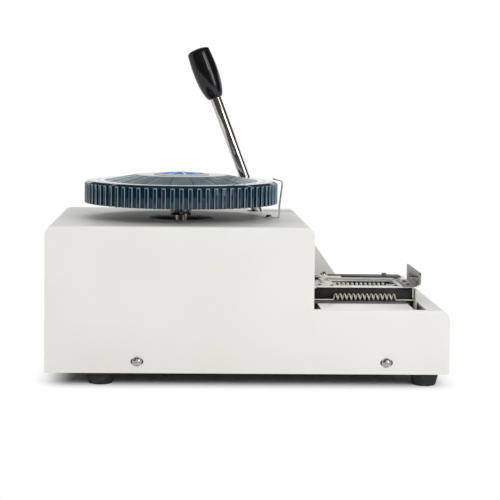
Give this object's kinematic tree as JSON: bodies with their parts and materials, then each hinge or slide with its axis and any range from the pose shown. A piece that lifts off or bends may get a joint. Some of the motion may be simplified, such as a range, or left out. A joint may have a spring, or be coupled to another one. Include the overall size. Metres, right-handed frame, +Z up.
{
  "type": "dog tag embossing machine",
  "caption": "Hand-lever embossing machine with a ribbed character dial on a stepped sheet-metal cover and a spring-drawn sliding carriage that carries the metal tag.",
  "frame": {"origin": "centre of the footprint, on the surface that the four feet stand on", "axes": "+X along the machine, from the turret towards the operator's carriage end; +Y across it to the lever side; +Z up"},
  "size_m": [0.43, 0.262, 0.3662],
  "materials": {
    "cover_paint": "fine satin powder coat, off-white",
    "steel_plate": "brushed",
    "bright_plate": "bright rolled sheet",
    "carriage_steel": "light stainless sheet, fine brushing",
    "end_plate_steel": "brushed grey",
    "tray_steel": "grey satin",
    "black_steel": "black satin",
    "frame_iron": "painted casting",
    "turned_steel": "turned and ground",
    "chrome_plate": "polished",
    "screw_steel": "bright zinc plate",
    "spring_wire": "bright drawn wire",
    "bronze": "turned bearing bronze",
    "brass_screw": "bright",
    "foot_rubber": "matt black",
    "grip_plastic": "glossy black phenolic",
    "dial_plastic": "glossy teal-navy moulding",
    "label_print": null,
    "runner_plastic": "nylon"
  },
  "bodies": {
    "frame": {"housing": "cover_paint", "base_plate": "steel_plate", "feet": "foot_rubber", "foot_screws": "screw_steel", "case_screws": "screw_steel", "case_nuts": "screw_steel", "turret_frame": "frame_iron", "spindle_bushes": "bronze", "press_frame": "frame_iron", "anvil": "turned_steel", "lever_bracket": "steel_plate", "lever_bushes": "bronze", "frame_bolts": "screw_steel", "bed_plate": "bright_plate", "spring_tray": "tray_steel", "apron_bar": "black_steel", "guide_rods": "chrome_plate", "rod_blocks": "steel_plate", "spring_bracket": "carriage_steel", "spring_guide_screw": "brass_screw", "carriage_spring": "spring_wire", "pointer": "carriage_steel", "pointer_screw": "screw_steel", "spring_posts": "turned_steel", "detent_spring": "spring_wire", "ram_spring": "spring_wire", "lever_spring": "spring_wire"},
    "turret": {"dial": "dial_plastic", "dial_label": "label_print", "dial_nut": "turned_steel", "dial_collar": "chrome_plate", "spindle": "turned_steel", "punch_wheel": "turned_steel", "punches": "turned_steel", "die_wheel": "turned_steel", "dies": "turned_steel", "index_wheel": "turned_steel", "wheel_spacers": "turned_steel", "wheel_nut": "turned_steel"},
    "lever": {"lever_rod": "chrome_plate", "lever_grip": "grip_plastic", "lever_hub": "turned_steel", "lever_shaft": "turned_steel", "lever_cam": "turned_steel"},
    "push_rod": {"push_rod": "turned_steel"},
    "rocker": {"rocker": "turned_steel"},
    "ram": {"ram": "turned_steel"},
    "detent": {"detent_arm": "steel_plate"},
    "latch": {"line_latch": "steel_plate"},
    "carriage": {"carriage_plate": "carriage_steel", "runners": "runner_plastic", "line_rack": "carriage_steel", "end_plate": "end_plate_steel", "end_plate_screws": "screw_steel", "slide_gibs": "carriage_steel"},
    "letter_pawl": {"letter_pawl": "black_steel"},
    "tag_slide": {"letter_slide": "carriage_steel", "clamp_bar": "black_steel", "clamp_screws": "screw_steel", "tag_jaw": "carriage_steel"}
  },
  "joints": [
    {"name": "dial_spin", "type": "hinge", "parent": "frame", "child": "turret", "pos_m": [-0.0715, -0.01, 0.1023], "axis": [0, 0, 1], "continuous": true},
    {"name": "lever_pull", "type": "hinge", "parent": "frame", "child": "lever", "pos_m": [0.0479, 0.089, 0.0993], "axis": [0, 1, 0], "range_deg": [0, 65], "stiffness_Nm_per_rad": 0.8, "springref_deg": -22.92, "deforming": ["lever_spring"]},
    {"name": "push_rod_lift", "type": "slide", "parent": "frame", "child": "push_rod", "axis": [0, 0, 1], "range_m": [0, 0.003]},
    {"name": "rocker_rock", "type": "hinge", "parent": "frame", "child": "rocker", "pos_m": [0.028, 0, 0.1543], "axis": [0, 1, 0], "range_deg": [-8.7, 0]},
    {"name": "ram_press", "type": "slide", "parent": "frame", "child": "ram", "axis": [0, 0, 1], "range_m": [-0.003, 0], "deforming": ["ram_spring"]},
    {"name": "detent_swing", "type": "hinge", "parent": "frame", "child": "detent", "pos_m": [-0.03, -0.08, 0.0483], "axis": [0, 0, 1], "range_deg": [-1.5, 0], "stiffness_Nm_per_rad": 0.5, "springref_deg": -5.73, "deforming": ["detent_spring"]},
    {"name": "line_latch", "type": "hinge", "parent": "frame", "child": "latch", "pos_m": [0.104, -0.026, 0.0868], "axis": [1, 0, 0], "range_deg": [0, 8]},
    {"name": "carriage_slide", "type": "slide", "parent": "frame", "child": "carriage", "axis": [1, 0, 0], "range_m": [-0.05423, 0], "stiffness_N_per_m": 40, "springref_m": 0.03, "deforming": ["carriage_spring"]},
    {"name": "letter_pawl", "type": "hinge", "parent": "carriage", "child": "letter_pawl", "pos_m": [0.076, 0.03, 0.0993], "axis": [0, 0, 1], "range_deg": [0, 1.6]},
    {"name": "tag_slide", "type": "slide", "parent": "carriage", "child": "tag_slide", "axis": [0, 1, 0], "range_m": [-0.024, 0.024]}
  ],
  "couplings": [
    {"joint": "push_rod_lift", "follows": "lever_pull", "m_per_rad": 0.0026444},
    {"joint": "rocker_rock", "follows": "lever_pull", "ratio": -0.13385},
    {"joint": "ram_press", "follows": "lever_pull", "m_per_rad": -0.0026444},
    {"joint": "letter_pawl", "follows": "lever_pull", "ratio": 0.024615}
  ]
}
